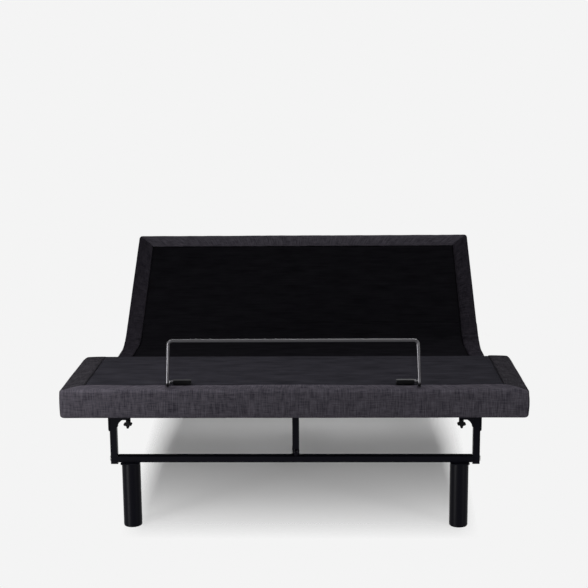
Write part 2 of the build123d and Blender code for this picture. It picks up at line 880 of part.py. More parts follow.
# ---- mattress retainer on the foot section ----
rod_z = deck_top_z + clip_rod_lift
rod_y = foot_face_y + retainer_setback
clip_y = foot_face_y + clip_u
rod_end = clip_x - clip_width / 2 + clip_rod_play
top_half = retainer_half - retainer_lean
rod_top_z = deck_top_z + retainer_height
with BuildPart() as retainer_bar:
    with BuildLine():
        FilletPolyline(
            (-rod_end, clip_y, rod_z),
            (-retainer_half, clip_y, rod_z),
            (-retainer_half, rod_y, rod_z),
            (-top_half, rod_y, rod_top_z),
            (top_half, rod_y, rod_top_z),
            (retainer_half, rod_y, rod_z),
            (retainer_half, clip_y, rod_z),
            (rod_end, clip_y, rod_z),
            radius=retainer_corner,
        )
    with BuildSketch(upright(-rod_end, clip_y, rod_z)):
        Circle(retainer_rod / 2)
    sweep()
save(retainer_bar, "retainer_bar")

with BuildPart() as retainer_clips:
    for x in (-clip_x, clip_x):
        # the screw plate reaches back from the block that holds the rod
        with BuildSketch(Plane.XY.offset(deck_top_z)):
            with Locations((x, clip_y + (clip_depth - clip_height) / 2)):
                RectangleRounded(clip_width, clip_depth, clip_thickness)
        extrude(amount=clip_thickness)
        with BuildSketch(upright(x - clip_width / 2, clip_y, deck_top_z)):
            with Locations((0, clip_height / 2)):
                Rectangle(clip_height, clip_height)
        extrude(amount=clip_width)
        with BuildSketch(upright(x - clip_width / 2, clip_y, rod_z)):
            Circle(retainer_rod / 2 + running_gap)
        extrude(amount=clip_width, mode=Mode.SUBTRACT)
    with BuildSketch(Plane.XY.offset(deck_top_z)):
        with Locations([(x, foot.deck.origin.Y + u) for x, u in clip_screw_places()]):
            Circle(screw_diameter / 2 + fit_gap / 2)
    extrude(amount=clip_thickness, mode=Mode.SUBTRACT)
save(retainer_clips, "retainer_clips")

screw_places = [(x, foot.deck.origin.Y + u) for x, u in clip_screw_places()]
screw_reach = pad_thickness + board_thickness + clip_thickness
with BuildPart() as retainer_screws:
    with BuildSketch(Plane.XY.offset(deck_top_z + clip_thickness)):
        with Locations(screw_places):
            Circle(screw_head_diameter / 2)
    extrude(amount=screw_head_height)
    with BuildSketch(Plane.XY.offset(deck_top_z + clip_thickness)):
        with Locations(screw_places):
            Circle(screw_diameter / 2)
    extrude(amount=-screw_reach)
save(retainer_screws, "retainer_screws")


# ---- lift bars: a tube across the section with a slotted crank that the push rod works ----
def polar(radius, angle):
    """A point at a radius and an angle in degrees."""
    return Vector(radius * cos(radians(angle)), radius * sin(radians(angle)))


crank_gap = rod_eye_width + 2 * crank_side_gap


def make_lift_bar(section, name, hinge_way, x_mid, radius, angle, travel, side_travel):
    """The tube, with two crank plates and their slot. The slot lets the section lift free."""
    bar_u = hinge_way * (lift_bar_setback + lift_bar / 2)
    outward = polar(1, angle)
    sideways = polar(1, angle + 90)
    middle = outward * (radius + sum(travel) / 2) + sideways * (sum(side_travel) / 2)
    slot_width = link_pin_diameter + side_travel[1] - side_travel[0] + 2 * slot_play
    slot_length = travel[1] - travel[0] + 2 * slot_play
    end_radius = slot_length / 2 + slot_width / 2 + crank_margin
    elbow = Vector(bar_u, board_under - lift_bar - crank_drop)
    arm = middle - elbow
    turn = degrees(atan2(arm.Y, arm.X))
    with BuildPart() as bar:
        with BuildSketch(section.side.offset(fit_gap - rail_face)):
            with Locations((bar_u, board_under - lift_bar / 2)):
                Rectangle(lift_bar, lift_bar)
                Rectangle(lift_bar - 2 * wall, lift_bar - 2 * wall, mode=Mode.SUBTRACT)
        extrude(amount=2 * (rail_face - fit_gap))
        for start in (x_mid - crank_gap / 2 - crank_plate, x_mid + crank_gap / 2):
            with BuildSketch(section.side.offset(start)):
                with Locations((bar_u, board_under - lift_bar - crank_drop / 2)):
                    Rectangle(lift_bar, crank_drop)
                centre = (middle + elbow) * 0.5
                with Locations((centre.X, centre.Y)):
                    SlotCenterToCenter(arm.length, 2 * end_radius, rotation=turn)
                with Locations((middle.X, middle.Y)):
                    SlotCenterToCenter(slot_length, slot_width, rotation=angle, mode=Mode.SUBTRACT)
            extrude(amount=crank_plate)
    save(bar, name)


make_lift_bar(
    head, "head_lift_bar", 1, head_link_x, head_crank_radius, head_crank_angle, head_slot, head_slot_side
)
make_lift_bar(
    thigh,
    "thigh_lift_bar",
    -1,
    foot_link_x,
    foot_crank_radius,
    foot_crank_angle,
    foot_slot,
    foot_slot_side,
)


# ---- linear actuators ----
# Each is drawn along its own axis, from its base pivot to the pin that works the crank.
def world_point(section, point):
    """A point of a section's side plane, as (y, z)."""
    place = section.side.from_local_coords(Vector(point.X, point.Y, 0))
    return place.Y, place.Z


def make_actuator(name, section, x_mid, pivot_y, radius, angle, stroke_left):
    """The gear case, motor can, outer tube, push rod and rod pin of one actuator."""
    pin_y, pin_z = world_point(section, polar(radius, angle))
    reach = Vector(0, pin_y - pivot_y, pin_z - link_pivot_z)
    length = reach.length
    along = reach.normalized()
    side = Plane(origin=(x_mid, pivot_y, link_pivot_z), x_dir=along, z_dir=ACROSS)
    axis = Plane(origin=(x_mid, pivot_y, link_pivot_z), x_dir=ACROSS, z_dir=along)
    case_front = gear_case_start + gear_case_length
    can_side = motor_can_diameter / 2 + gear_case_margin
    tube_side = outer_tube_diameter / 2 + gear_case_margin
    with BuildPart() as gear_case:
        with BuildSketch(axis.offset(gear_case_start)):
            with Locations(((motor_can_offset + can_side - tube_side) / 2, 0)):
                RectangleRounded(
                    motor_can_offset + can_side + tube_side, gear_case_height, gear_case_corner
                )
        extrude(amount=gear_case_length)
        with BuildSketch(side.offset(-rod_eye_width / 2)):
            Circle(rod_eye_radius)
            with Locations((gear_case_start / 2, 0)):
                Rectangle(gear_case_start, 2 * rod_eye_radius)
            Circle(link_pin_diameter / 2 + running_gap, mode=Mode.SUBTRACT)
        extrude(amount=rod_eye_width)
    save(gear_case, f"{name}_gear_case")
    with BuildPart() as can:
        with BuildSketch(axis.offset(case_front)):
            with Locations((motor_can_offset, 0)):
                Circle(motor_can_diameter / 2)
        extrude(amount=motor_can_length)
        with BuildSketch(axis.offset(case_front + motor_can_length)):
            with Locations((motor_can_offset, 0)):
                Circle(motor_can_diameter / 2 - gear_case_margin)
        extrude(amount=motor_cap_length)
    save(can, f"{name}_motor_can")
    with BuildPart() as outer:
        with BuildSketch(axis.offset(case_front)):
            Circle(outer_tube_diameter / 2)
            Circle(outer_tube_diameter / 2 - outer_tube_wall, mode=Mode.SUBTRACT)
        extrude(amount=outer_tube_end - case_front)
        # the wiper bush that guides the rod at the mouth of the tube
        with BuildSketch(axis.offset(outer_tube_end - bush_length)):
            Circle(outer_tube_diameter / 2 - outer_tube_wall)
            Circle(push_rod_diameter / 2 + slide_gap, mode=Mode.SUBTRACT)
        extrude(amount=bush_length)
    save(outer, f"{name}_outer_tube")
    rod_start = outer_tube_end - bush_length - rod_overlap - stroke_left
    with BuildPart() as rod:
        with BuildSketch(axis.offset(rod_start)):
            Circle(push_rod_diameter / 2)
        extrude(amount=length - rod_eye_radius / 2 - rod_start)
        with BuildSketch(side.offset(-rod_eye_width / 2)):
            with Locations((length, 0)):
                Circle(rod_eye_radius)
        extrude(amount=rod_eye_width)
        with BuildSketch(side.offset(-push_rod_diameter)):
            with Locations((length, 0)):
                Circle(link_pin_diameter / 2 + running_gap)
        extrude(amount=2 * push_rod_diameter, mode=Mode.SUBTRACT)
    save(rod, f"{name}_push_rod")
    with BuildPart() as pin:
        add_collared_pin(side, length, crank_gap / 2 + crank_plate)
    save(pin, f"{name}_link_pin")


def add_collared_pin(side, along, half_span):
    """Adds a pin across an actuator's plane, with a collar at each end."""
    half = half_span + lug_gap
    with BuildSketch(side.offset(-half)) as shank:
        with Locations((along, 0)):
            Circle(link_pin_diameter / 2)
    extrude(shank.sketch, amount=2 * half)
    for sign in (-1, 1):
        with BuildSketch(side.offset(sign * half)) as collar:
            with Locations((along, 0)):
                Circle(pin_collar_diameter / 2)
        extrude(collar.sketch, amount=sign * pin_collar_height)


head_stroke_left = head_crank_radius * radians(head_top_angle - head_rest_angle)
make_actuator(
    "head", head, head_link_x, head_motor_y, head_crank_radius, head_crank_angle, head_stroke_left
)
make_actuator("foot", thigh, foot_link_x, foot_motor_y, foot_crank_radius, foot_crank_angle, 0)

# each motor hangs between two lugs on its crossbeam
MOTOR_SEATS = (
    (head_link_x, middle_beam_y + tube / 2, head_motor_y),
    (foot_link_x, seat_beam_y - tube / 2, foot_motor_y),
)
lug_inner = rod_eye_width / 2 + lug_gap
with BuildPart() as motor_brackets:
    for x_mid, face_y, pivot_y in MOTOR_SEATS:
        for start in (x_mid - lug_inner - mount_plate, x_mid + lug_inner):
            with BuildSketch(upright(start, 0, 0)):
                low = link_pivot_z - rod_eye_radius
                high = beam_top_z - wall
                with Locations(((face_y + pivot_y) / 2, (low + high) / 2)):
                    Rectangle(abs(pivot_y - face_y), high - low)
                with Locations((pivot_y, link_pivot_z)):
                    Circle(rod_eye_radius)
                    Circle(link_pin_diameter / 2 + running_gap, mode=Mode.SUBTRACT)
            extrude(amount=mount_plate)
save(motor_brackets, "motor_brackets")

with BuildPart() as motor_pivot_pins:
    for x_mid, face_y, pivot_y in MOTOR_SEATS:
        add_collared_pin(upright(x_mid, pivot_y, link_pivot_z), 0, lug_inner + mount_plate)
save(motor_pivot_pins, "motor_pivot_pins")


# ---- control box under the seat board ----
box_top_z = pivot_z + board_under
box_y = thigh_hinge_y + box_start
socket_pitch = box_length / (socket_count + 2)
with BuildPart() as control_box:
    with BuildSketch(Plane.XY.offset(box_top_z - box_height)):
        with Locations((0, box_y + box_width / 2)):
            RectangleRounded(box_length, box_width, box_corner)
    extrude(amount=box_height)
    with BuildSketch(Plane.XY.offset(box_top_z - box_tab_thickness)):
        with Locations((0, box_y + box_width / 2)):
            RectangleRounded(box_length + 2 * box_tab_reach, box_width / 3, box_corner)
            with GridLocations(box_length + box_tab_reach, 0, 2, 1):
                Circle(screw_diameter / 2, mode=Mode.SUBTRACT)
    extrude(amount=box_tab_thickness)
    rear = Plane(
        origin=(0, box_y + box_width, box_top_z - box_height / 2), x_dir=ACROSS, z_dir=(0, 1, 0)
    )
    with BuildSketch(rear):
        with Locations((-socket_pitch / 2, 0)):
            with GridLocations(socket_pitch, 0, socket_count, 1):
                Circle(socket_diameter / 2)
        with Locations((2 * socket_pitch, 0)):
            Rectangle(inlet_width, inlet_height)
    extrude(amount=-socket_depth, mode=Mode.SUBTRACT)
save(control_box, "control_box")
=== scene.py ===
import bpy
import json
import math
import numpy as np
from mathutils import Matrix, Vector, noise


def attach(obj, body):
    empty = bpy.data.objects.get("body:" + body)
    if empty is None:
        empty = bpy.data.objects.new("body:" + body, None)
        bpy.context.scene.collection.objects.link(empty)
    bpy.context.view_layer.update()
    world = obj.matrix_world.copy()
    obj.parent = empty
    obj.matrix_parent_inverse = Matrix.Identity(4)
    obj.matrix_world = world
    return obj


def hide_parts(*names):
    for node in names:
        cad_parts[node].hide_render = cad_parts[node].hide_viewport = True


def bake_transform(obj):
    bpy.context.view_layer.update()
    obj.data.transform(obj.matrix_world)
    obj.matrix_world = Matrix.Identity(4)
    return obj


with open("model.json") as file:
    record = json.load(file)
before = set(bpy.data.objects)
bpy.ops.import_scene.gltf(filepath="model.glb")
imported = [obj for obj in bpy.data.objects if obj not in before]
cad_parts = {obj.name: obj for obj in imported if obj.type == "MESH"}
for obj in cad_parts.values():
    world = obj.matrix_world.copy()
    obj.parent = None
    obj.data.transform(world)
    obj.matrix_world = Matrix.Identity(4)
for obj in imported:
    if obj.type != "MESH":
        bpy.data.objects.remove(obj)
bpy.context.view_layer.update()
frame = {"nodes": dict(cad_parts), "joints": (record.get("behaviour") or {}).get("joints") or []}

# ---- Legs and glides ----
# Four round steel tubes with a welded top plate, bolted up into the crossbeams and powder coated
# black. Each stands on a pressed-in rubber glide.


class Wire:
    """One node socket. Arithmetic on it adds a node to its finish."""

    def __init__(self, finish, socket):
        self.finish, self.socket = finish, socket

    def sum(self, operation, a, b=0.0):
        kinds = [w.socket.type for w in (a, b) if isinstance(w, Wire)]
        if "VECTOR" in kinds or "RGBA" in kinds or isinstance(b, tuple):
            sides = [(w, w, w) if isinstance(w, (int, float)) else w for w in (a, b)]
            return self.finish.node("ShaderNodeVectorMath", {0: sides[0], 1: sides[1]}, operation=operation)
        return self.finish.node("ShaderNodeMath", {0: a, 1: b}, operation=operation)

    def __add__(self, other):
        return self.sum("ADD", self, other)

    def __sub__(self, other):
        return self.sum("SUBTRACT", self, other)

    def __rsub__(self, other):
        return self.sum("SUBTRACT", other, self)

    def __mul__(self, other):
        return self.sum("MULTIPLY", self, other)

    def __rpow__(self, other):
        return self.sum("POWER", other, self)

    def __abs__(self):
        return self.sum("ABSOLUTE", self)

    def clamp(self, low=0.0, high=1.0):
        return self.finish.node("ShaderNodeClamp", {0: self, 1: low, 2: high})

    def between(self, dark, light):
        """The colour part of the way from dark to light."""
        ends = {"Factor": self, "A": dark, "B": light}
        return self.finish.node("ShaderNodeMix", ends, out=2, data_type="RGBA")


class Finish:
    """A material with its Principled shader. Its textures are worked out from coordinates."""

    def __init__(self, name, colour, roughness, **constants):
        self.material = bpy.data.materials.new(name)
        self.material.use_nodes = True
        self.tree = self.material.node_tree
        self.shader = self.tree.nodes["Principled BSDF"]
        self.shader.inputs["Base Color"].default_value = (*colour, 1)
        self.shader.inputs["Roughness"].default_value = roughness
        for key, value in constants.items():
            self.shader.inputs[key.replace("_", " ")].default_value = value

    def node(self, kind, feeds=None, out=0, **settings):
        """Adds a node. feeds gives its inputs by number or name, as wires or constants."""
        made = self.tree.nodes.new(kind)
        for key, value in settings.items():
            setattr(made, key, value)
        for key, value in (feeds or {}).items():
            if isinstance(key, int):
                socket = made.inputs[key]
            else:
                socket = [s for s in made.inputs if s.name == key and s.enabled][0]
            if isinstance(value, Wire):
                self.tree.links.new(value.socket, socket)
            elif socket.type == "RGBA":
                socket.default_value = (*value[:3], 1)
            else:
                socket.default_value = value
        return Wire(self, made.outputs[out])

    def place(self, source="Object", stretch=(1, 1, 1)):
        """Texture coordinates in metres, stretched along each axis."""
        raw = self.node("ShaderNodeTexCoord", out=["Generated", "Normal", "UV", "Object"].index(source))
        return raw * tuple(stretch)

    def split(self, vector):
        """The X, Y and Z of a vector."""
        parts = self.node("ShaderNodeSeparateXYZ", {0: vector}).socket.node.outputs
        return [Wire(self, socket) for socket in parts]

    def noise(self, where, scale, detail=3.0, roughness=0.5):
        feeds = {"Vector": where, "Scale": scale, "Detail": detail, "Roughness": roughness}
        return self.node("ShaderNodeTexNoise", feeds)

    def bump(self, height, distance, strength):
        feeds = {"Height": height, "Distance": distance, "Strength": strength}
        self.feed("Normal", self.node("ShaderNodeBump", feeds))

    def feed(self, name, wire):
        self.tree.links.new(wire.socket, self.shader.inputs[name])


def powder_coat():
    """Satin black powder coat with a slight orange peel."""
    coat = Finish("black_powder_coat", (0.0065, 0.0063, 0.0098), 0.37, Specular_IOR_Level=0.03)
    peel = coat.noise(coat.place(), 900.0, 2.0)
    cloud = coat.noise(coat.place(), 14.0)
    coat.feed("Roughness", cloud * 0.10 + 0.32)
    coat.bump(peel, 0.00015, 0.4)
    return coat.material


def moulded(name, colour, roughness):
    """Moulded plastic or rubber with a spark-eroded grain."""
    plastic = Finish(name, colour, roughness, Specular_IOR_Level=0.04)
    grain = plastic.noise(plastic.place(), 1500.0, 2.0)
    plastic.bump(grain, 0.0001, 0.5)
    plastic.feed("Roughness", grain * 0.1 + (roughness - 0.05))
    return plastic.material


def metal(name, colour, roughness, spread=0.1):
    """Bare or plated metal. Fine drawing lines vary its roughness by spread."""
    steel = Finish(name, colour, roughness, Metallic=1.0)
    lines = steel.noise(steel.place(), 260.0, 3.0, 0.6)
    steel.feed("Roughness", lines * spread + (roughness - spread / 2))
    steel.bump(lines, 0.00008, 0.3)
    return steel.material


def paint(material, slot, *nodes):
    for node in nodes:
        piece = frame["nodes"][node]
        piece.data.materials.clear()
        piece.data.materials.append(material)


steel_black = powder_coat()
paint(steel_black, "black_steel", "front_legs", "rear_legs")
rubber = moulded("black_rubber_grain", (0.012, 0.012, 0.012), 0.7)
paint(rubber, "black_rubber", "leg_glides", "seat_spacers")
zinc = metal("zinc_plate", (0.46, 0.46, 0.45), 0.34)
paint(zinc, "zinc_steel", "leg_bolts")

# ---- Frame ----
# Square steel tube, welded and powder coated: four crossbeams, two side rails and a centre spine.
# The headboard plates are welded to the rear ends of the side rails.
paint(steel_black, "black_steel", "front_crossbeam", "centre_spine", "side_rails")
paint(steel_black, "black_steel", "frame_crossbeams", "headboard_plates")

# ---- Foot stays and their brackets ----
# Three flat steel props that turn on bolts at the front crossbeam. They stand in channel brackets
# under a square bar that runs across the foot section.
paint(steel_black, "black_steel", "stay_left", "stay_right", "stay_centre")
paint(steel_black, "black_steel", "centre_stay_lug", "outer_stay_brackets")
paint(steel_black, "black_steel", "centre_stay_bracket", "foot_cross_bar")
paint(zinc, "zinc_steel", "stay_pivot_bolts")
knob_plastic = moulded("black_plastic_grain", (0.008, 0.008, 0.009), 0.5)
paint(knob_plastic, "black_plastic", "clamp_knobs")

# ---- Hinges ----
# Pressed steel leaves screwed inside the wooden side rails, lapped about shouldered pins.
# The leaves and pins are zinc plated.
hinge_steel = metal("hinge_zinc", (0.36, 0.36, 0.35), 0.4)
sections = ("foot", "thigh", "seat", "head")
for section in sections:
    paint(hinge_steel, "black_steel", f"{section}_hinge_leaves")
paint(zinc, "zinc_steel", "seat_hinge_pins", "knee_hinge_pins")

# ---- Boards and rails ----
# Plywood deck boards on pine rails, two along the sides of each board and the rest across it.
# The wood is stained black.


def timber(name, dark, light, stretch, scale):
    """Plain sawn wood: growth lines drawn out along the grain."""
    wood = Finish(name, light, 0.6, Specular_IOR_Level=0.1)
    rings = wood.noise(wood.place("Object", stretch), scale, 4.0, 0.6)
    fleck = wood.noise(wood.place("Object", stretch), scale * 9, 2.0)
    wood.feed("Base Color", (rings * 1.6 + fleck * 0.5 - 0.55).clamp().between(dark, light))
    wood.bump(rings + fleck * 0.4, 0.0004, 0.4)
    return wood.material


plywood = timber("stained_plywood", (0.020, 0.017, 0.015), (0.040, 0.034, 0.030), (1, 6, 6), 3.0)
pine = timber("stained_pine", (0.024, 0.020, 0.018), (0.048, 0.041, 0.036), (1, 8, 8), 4.0)
for section in sections:
    paint(plywood, "deck_board", f"{section}_board")
    paint(pine, "softwood", f"{section}_rails")

# ---- Lift linkage and actuators ----
# A tube with slotted crank plates on each moving section, and two linear actuators with a moulded
# gear case, a motor can, an anodised outer tube and a plated push rod.
paint(steel_black, "black_steel", "head_lift_bar", "thigh_lift_bar", "motor_brackets")
case_plastic = moulded("case_plastic", (0.012, 0.012, 0.013), 0.45)
can_plastic = moulded("can_plastic", (0.045, 0.045, 0.048), 0.4)
tube_alloy = metal("anodised_tube", (0.58, 0.58, 0.60), 0.32)
rod_chrome = metal("ground_rod", (0.66, 0.66, 0.68), 0.12, spread=0.04)
for actuator in ("head", "foot"):
    paint(case_plastic, "black_plastic", f"{actuator}_gear_case")
    paint(can_plastic, "grey_plastic", f"{actuator}_motor_can")
    paint(tube_alloy, "tube_aluminium", f"{actuator}_outer_tube")
    paint(rod_chrome, "rod_steel", f"{actuator}_push_rod")
    paint(zinc, "zinc_steel", f"{actuator}_link_pin")
paint(zinc, "zinc_steel", "motor_pivot_pins")
paint(case_plastic, "black_plastic", "control_box")

# ---- Upholstery ----
# Foam and cloth over the four hinged boards. A slub-linen border with a rolled edge and mitred
# corners is sewn to a thinner black centre cloth, and the cover runs unbroken over the hinges.


def linen(name, dark, light):
    """Slub-woven upholstery cloth: a plain weave with thick and thin threads both ways."""
    cloth = Finish(name, light, 0.95, Specular_IOR_Level=0.0)
    across = cloth.noise(cloth.place("UV", (26, 330, 1)), 1.0, 3.0, 0.6)
    along = cloth.noise(cloth.place("UV", (300, 20, 1)), 1.0, 3.0, 0.6)
    mottle = cloth.noise(cloth.place("UV", (34, 34, 1)), 1.0, 3.0, 0.6)
    threads = (across * 0.34 + along * 0.46 + mottle * 0.20 - 0.40) * 5.0
    cloth.feed("Base Color", threads.clamp().between(dark, light))
    weft, warp = [
        cloth.node(
            "ShaderNodeTexWave",
            {"Vector": cloth.place("UV"), "Scale": 160.0, "Distortion": 0.6, "Detail": 1.0},
            out=1,
            bands_direction=direction,
        )
        for direction in "YX"
    ]
    cloth.bump(weft * 0.3 + warp * 0.3 + across * 0.7 + along * 0.7, 0.0005, 0.8)
    return cloth.material


def deck_cloth(name, dark, light):
    """Thin black deck cloth with a faint rib across the bed."""
    cloth = Finish(name, light, 0.95, Specular_IOR_Level=0.0)
    ribs = cloth.noise(cloth.place("UV", (7, 300, 1)), 1.0, 3.0, 0.6)
    grain = cloth.noise(cloth.place("UV", (700, 700, 1)), 1.0, 2.0, 0.6)
    cloud = cloth.noise(cloth.place("UV", (9, 26, 1)), 1.0, 2.0, 0.6)
    shade = (ribs * 0.6 + cloud * 0.4) * 3.4 - 1.2
    cloth.feed("Base Color", shade.clamp().between(dark, light))
    cloth.bump(ribs * 0.6 + grain * 0.5, 0.0003, 0.6)
    return cloth.material


# One linen made in three copies, painted lighter or darker in place of light. The lightest, on both end
# strips and the foot's face, carries painted light from the front and above. The darkest, on the seat and
# head sides, carries painted shade. The middle one, on the sides of the foot, knee, thigh and seat bend,
# carries painted light from above.
linen_painted_lit = linen("linen_painted_lit", (0.0397, 0.0363, 0.0466), (0.1206, 0.1110, 0.1315))
linen_painted_shade = linen("linen_painted_shade", (0.0136, 0.0123, 0.0166), (0.0463, 0.0415, 0.0517))
linen_painted_half_lit = linen("linen_painted_half_lit", (0.0191, 0.0178, 0.0214), (0.0564, 0.0528, 0.0601))
centre_cloth = deck_cloth("centre_cloth", (0.0060, 0.0056, 0.0071), (0.0128, 0.0123, 0.0149))
# The centre cloth of the foot, knee and thigh is a copy painted about three times lighter. This is painted
# light and sheen where light grazes that section. The seat and head keep the darker cloth.
lit_centre_cloth = deck_cloth("lit_foot_centre_cloth", (0.0180, 0.0174, 0.0217), (0.0402, 0.0389, 0.0475))

half_width = 0.762
foot_length, thigh_length, seat_length, head_length = 0.470, 0.400, 0.500, 0.660


class Section:
    """A deck section: a point (x, u, v) is u along the bed from its hinge line and v up from it."""

    def __init__(self, hinge, tilt):
        self.hinge = hinge
        self.along = Vector((0, math.cos(tilt), math.sin(tilt)))
        self.up = Vector((0, -math.sin(tilt), math.cos(tilt)))

    def at(self, x, u, v):
        return self.hinge + self.along * u + self.up * v + Vector((x, 0, 0))


joints = {j["name"]: Vector(j["pos_m"]) for j in frame["joints"] if "pos_m" in j}
knee, thigh_hinge, head_hinge = [joints[name] for name in ("knee_bend", "thigh_lift", "head_lift")]
thigh_tilt = math.atan2(thigh_hinge.z - knee.z, thigh_hinge.y - knee.y)
head_tilt = math.radians(36.3)
foot = Section(knee, 0.0)
thigh = Section(thigh_hinge, thigh_tilt)
seat = Section(thigh_hinge, 0.0)
head = Section(head_hinge, head_tilt)

# The border's cross-section: heights of its top and foot above the hinge lines, how far in the
# seam lies, the radii of its foot and corners, and how far it is rolled at the top.
top_v, foot_v = 0.020, -0.072
seam_inset = 0.070
foot_radius = 0.008
corner_radius = 0.014
tight_roll, soft_roll = 0.009, 0.028
seam_drop = 0.0050


def edge_profile(roll):
    """The border from its tuck under the rail, up the wall, over the rolled edge to the seam,
    as (distance in from the outer face, height)."""
    points = [(0.046, foot_v + 0.001), (0.034, foot_v), (0.022, foot_v)]
    for a in np.radians(np.linspace(0, 90, 7)):
        inward = foot_radius - foot_radius * math.sin(a)
        points.append((inward, foot_v + foot_radius - foot_radius * math.cos(a)))
    low, high = foot_v + foot_radius, top_v - roll
    for t in np.linspace(0, 1, 9)[1:-1]:
        points.append((-0.0015 * math.sin(math.pi * t), low + (high - low) * t))
    for a in np.radians(np.linspace(0, 90, 9)):
        points.append((roll - roll * math.cos(a), high + roll * math.sin(a)))
    for t in np.linspace(0, 1, 14)[1:]:
        inward = roll + (seam_inset - roll) * t
        crown = 0.0024 * math.sin(math.pi * min(1.0, t * 1.02)) ** 0.8 if t < 0.97 else 0.0
        fall = seam_drop * max(0.0, (t - 0.88) / 0.12) ** 2
        points.append((inward, top_v + crown - fall))
    return points


profile, soft_profile = edge_profile(tight_roll), edge_profile(soft_roll)
profile_run = [0.0]
for (d0, v0), (d1, v1) in zip(profile, profile[1:]):
    profile_run.append(profile_run[-1] + math.hypot(d1 - d0, v1 - v0))


def ruffle(x, s, size, depth):
    """Slow waves in foam under cloth."""
    return depth * noise.noise(Vector((x / size, s / size, 3.7)))


def clip_dip(x, u_from_end):
    """How far the retainer's clip plates press the foam down, as a share."""
    dip = 0.0
    for way in (-1, 1):
        dx, du = (x - way * 0.368) / 0.05, (u_from_end - 0.088) / 0.035
        dip += math.exp(-dx * dx - du * du)
    return dip


class Cloth:
    """The mesh of one cover, grown grid by grid. Slot 0 is the linen across the bed's ends, in the copy
    with the most painted light, 1 the linen along its sides and 2 the centre cloth."""

    def __init__(self):
        self.vertices, self.faces, self.uvs, self.slots = [], [], [], []

    def add(self, rows, uv, slot_of):
        """Adds a grid of points. uv and slot_of take the numbers of a row and of a point in it."""
        start, width = len(self.vertices), len(rows[0])
        self.vertices += [tuple(point) for row in rows for point in row]
        for i in range(len(rows) - 1):
            for k in range(width - 1):
                a, b = start + i * width + k, start + (i + 1) * width + k
                self.faces.append((a, a + 1, b + 1, b))
                self.uvs += [*uv(i, k), *uv(i, k + 1), *uv(i + 1, k + 1), *uv(i + 1, k)]
                self.slots.append(slot_of(i))

    def piece(self, name, side_cloth, insert):
        mesh = bpy.data.meshes.new(name)
        mesh.from_pydata(self.vertices, [], self.faces)
        for material in (linen_painted_lit, side_cloth, insert):
            mesh.materials.append(material)
        mesh.polygons.foreach_set("material_index", self.slots)
        mesh.uv_layers.new(name="threads").data.foreach_set("uv", self.uvs)
        mesh.validate()
        for polygon in mesh.polygons:
            polygon.use_smooth = True
        made = bpy.data.objects.new(name, mesh)
        bpy.context.scene.collection.objects.link(made)
        return made


# The centre cloth starts just outside the seam, a little below the border.
insert_half = half_width - seam_inset + 0.0006
insert_xs = np.linspace(-insert_half, insert_half, 150)
insert_v = top_v - 0.0008
seam_width = 0.0045


def border_point(section, length, kind, sign, t, d, v):
    """Where a point of the border's profile lies: x across, e towards the section's end, and its
    height. It is on a side, on the end, or on the arc round a corner."""
    r = max(corner_radius, d)
    if kind == "side":
        x, e = sign * (half_width - d), t * (length - r)
        from_mitre = (1 - t) * (length - r)
    elif kind == "end":
        x, e = (2 * t - 1) * (half_width - r), length - d
        from_mitre = min(t, 1 - t) * 2 * (half_width - r)
    else:
        a = math.radians(t)
        reach = r - d
        x = sign * (half_width - r + reach * math.cos(a))
        e = length - r + reach * math.sin(a)
        from_mitre = abs(t - 45) / 45 * max(reach, 0.0005)
    if v <= 0.0:
        push = ruffle(x + v, e - v, 0.12, 0.0016)
        return (x, e + push, v) if kind == "end" else (x + sign * push, e, v)
    mitre = math.exp(-((from_mitre / 0.004) ** 2)) * min(1.0, max(0.0, (d - 0.002) / 0.014))
    lift = 0.0 - 0.0022 * mitre
    lift += ruffle(x, e, 0.11, 0.0016) + ruffle(x * 1.3, e, 0.035, 0.0007)
    if section is foot:
        lift -= 0.0045 * clip_dip(x, length - e)
    return x, e, v + lift


def cover(name, section, u_split, u_end, side_cloth, insert):
    """The cover of the foot or head section: a border round three sides and the centre cloth."""
    way = 1 if u_end > u_split else -1
    length = abs(u_end - u_split)
    sides = list(1 - (1 - np.linspace(0, 1, 48)) ** 1.35)
    swings = [math.cos(math.pi * t) for t in np.linspace(0, 1, 180)]
    end = [0.5 - 0.5 * swing * (0.82 + 0.18 * abs(swing)) for swing in swings]
    path = [("side", -1, t) for t in sides[:-1]]
    path += [("arc", -1, a) for a in np.linspace(0, 90, 9)]
    path += [("end", 0, t) for t in end[1:-1]]
    path += [("arc", 1, a) for a in np.linspace(90, 0, 9)]
    path += [("side", 1, t) for t in sides[-2::-1]]
    rows = []
    for kind, sign, t in path:
        points = [border_point(section, length, kind, sign, t, d, v) for d, v in profile]
        rows.append([section.at(x, u_split + way * e, v) for x, e, v in points])
    wall = len(profile) // 2
    run = [0.0]
    for before, after in zip(rows, rows[1:]):
        run.append(run[-1] + (after[wall] - before[wall]).length)
    first_end = len(sides) - 1 + 4
    last_end = len(path) - len(sides) - 4
    cloth = Cloth()
    cloth.add(
        rows, lambda i, k: (run[i], profile_run[k]), lambda i: 0 if first_end <= i < last_end else 1
    )
    es = np.linspace(0, length - seam_inset + 0.0006, 44)
    rows = []
    for e in es:
        row = []
        for x in insert_xs:
            edge = min(insert_half - abs(x), es[-1] - e)
            v = insert_v - seam_drop * math.exp(-edge / seam_width)
            v += ruffle(x, e, 0.16, 0.0012) + ruffle(x, e * 0.4, 0.045, 0.0006)
            if section is foot:
                v -= 0.0035 * clip_dip(x, length - e)
            row.append(section.at(x, u_split + way * e, v))
        rows.append(row)
    cloth.add(rows, lambda i, k: (insert_xs[k], es[i]), lambda i: 2)
    return cloth.piece(name, side_cloth, insert)


